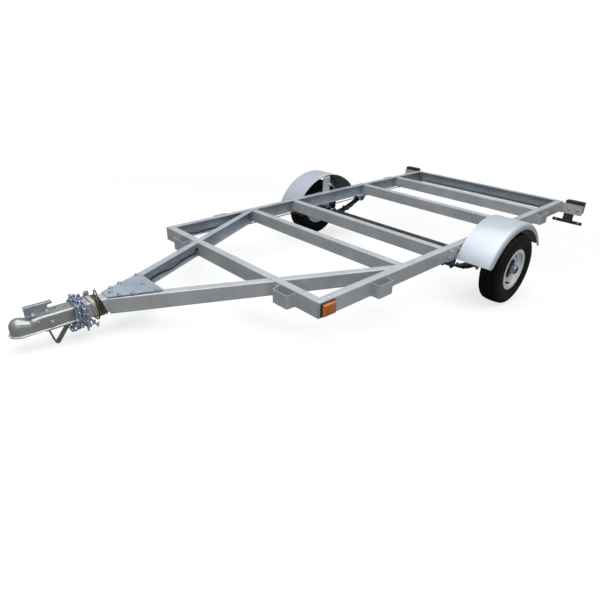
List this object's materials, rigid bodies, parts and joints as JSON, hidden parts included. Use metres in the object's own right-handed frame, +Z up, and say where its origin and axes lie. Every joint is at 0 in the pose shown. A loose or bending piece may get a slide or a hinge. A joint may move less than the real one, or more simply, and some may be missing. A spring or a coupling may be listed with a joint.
{
  "type": "utility trailer",
  "caption": "Small single-axle utility trailer: open channel-section bed, A-frame tongue with ball coupler, leaf springs, half-round fenders and two road wheels.",
  "frame": {"origin": "middle of the whole trailer's box on the ground, as it stands on its tyres and on the foot strap under the coupler", "axes": "+Z up, +Y towards the tail, +X towards the trailer's left side"},
  "size_m": [1.6678, 3.4502, 0.4805],
  "materials": {
    "amber": "gloss",
    "black_paint": "semi-gloss",
    "black_plastic": "matte",
    "fender_steel": "satin",
    "galvanised": "satin",
    "red": "gloss",
    "rim_paint": "gloss",
    "rubber": "matte",
    "wire": "matte",
    "zinc": "bright"
  },
  "bodies": {
    "frame": {"axle": "black_paint", "axle_clamp_left": "zinc", "axle_clamp_right": "zinc", "chain_hook_left": "zinc", "chain_hook_right": "zinc", "coupler": "galvanised", "coupler_latch": "zinc", "crossmember_1": "galvanised", "crossmember_2": "galvanised", "crossmember_3": "galvanised", "crossmember_4": "galvanised", "fender_left": "fender_steel", "fender_right": "fender_steel", "fender_stay_left": "galvanised", "fender_stay_right": "galvanised", "foot_strap": "galvanised", "gusset_plate": "galvanised", "harness_branch": "rubber", "harness_main": "rubber", "lamp_bracket_left": "galvanised", "lamp_bracket_right": "galvanised", "lamp_housing_left": "black_plastic", "lamp_housing_right": "black_plastic", "lamp_lens_left": "red", "lamp_lens_right": "red", "lead_coil": "wire", "lead_grommet": "black_plastic", "lead_plug": "black_plastic", "lead_tail": "wire", "leaf_spring_left": "black_paint", "leaf_spring_right": "black_paint", "plate_holder": "black_paint", "rail_front": "galvanised", "rail_left_front": "galvanised", "rail_left_rear": "galvanised", "rail_rear": "galvanised", "rail_right_front": "galvanised", "rail_right_rear": "galvanised", "safety_chains": "zinc", "side_marker_left": "amber", "side_marker_right": "amber", "splice_plate_left": "galvanised", "splice_plate_right": "galvanised", "spring_hanger_front_left": "black_paint", "spring_hanger_front_right": "black_paint", "spring_hanger_rear_left": "galvanised", "spring_hanger_rear_right": "galvanised", "tongue_bar_left": "galvanised", "tongue_bar_right": "galvanised", "tongue_beam": "galvanised"},
    "wheel_left": {"tyre_left": "rubber", "rim_left": "rim_paint", "hub_left": "zinc"},
    "wheel_right": {"tyre_right": "rubber", "rim_right": "rim_paint", "hub_right": "zinc"}
  },
  "joints": [
    {"name": "wheel_left_spin", "type": "hinge", "parent": "frame", "child": "wheel_left", "pos_m": [0.7699, 0.57115, 0.20322], "axis": [1, 0, 0], "continuous": true},
    {"name": "wheel_right_spin", "type": "hinge", "parent": "frame", "child": "wheel_right", "pos_m": [-0.7699, 0.57115, 0.20322], "axis": [1, 0, 0], "continuous": true}
  ]
}
